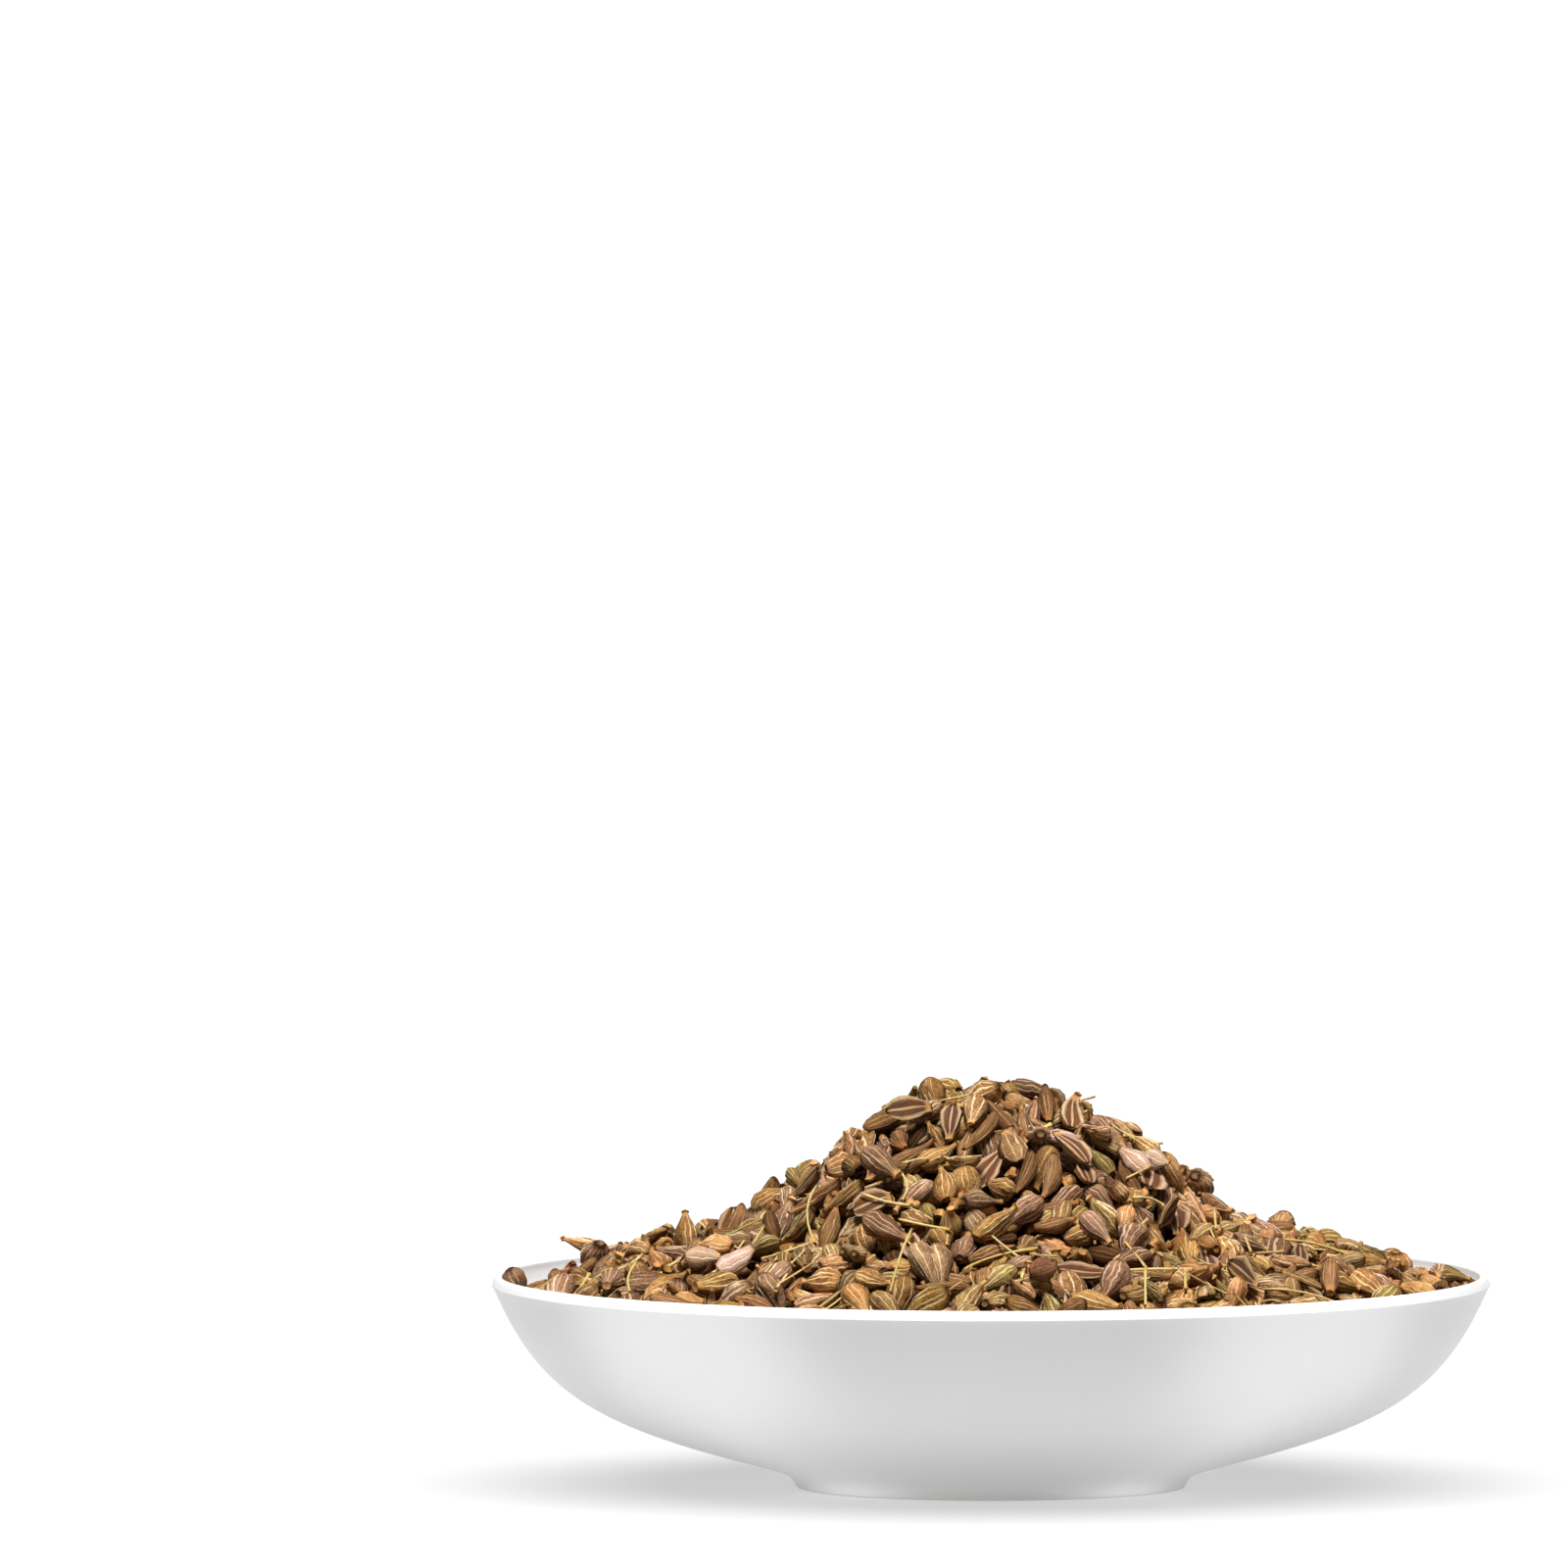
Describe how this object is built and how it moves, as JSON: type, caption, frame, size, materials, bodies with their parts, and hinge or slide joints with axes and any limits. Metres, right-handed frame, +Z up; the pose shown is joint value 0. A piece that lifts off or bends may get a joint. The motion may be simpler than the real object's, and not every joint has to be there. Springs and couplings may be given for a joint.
{
  "type": "dish of anise seed",
  "caption": "Whole dried anise seed heaped in a rounded mound in a small, shallow white porcelain dish that stands on a low foot ring.",
  "frame": {"origin": "centre of the foot ring's underside, on the surface that the dish stands on", "axes": "+Z up along the dish's axis; the picture looks along +Y with +X to the right"},
  "size_m": [0.1, 0.1, 0.0416],
  "materials": {
    "white_glaze": "white porcelain under a smooth clear glaze, glossy",
    "anise_brown": null
  },
  "bodies": {
    "root": {"dish": "white_glaze", "seed_heap": "anise_brown"}
  },
  "joints": []
}
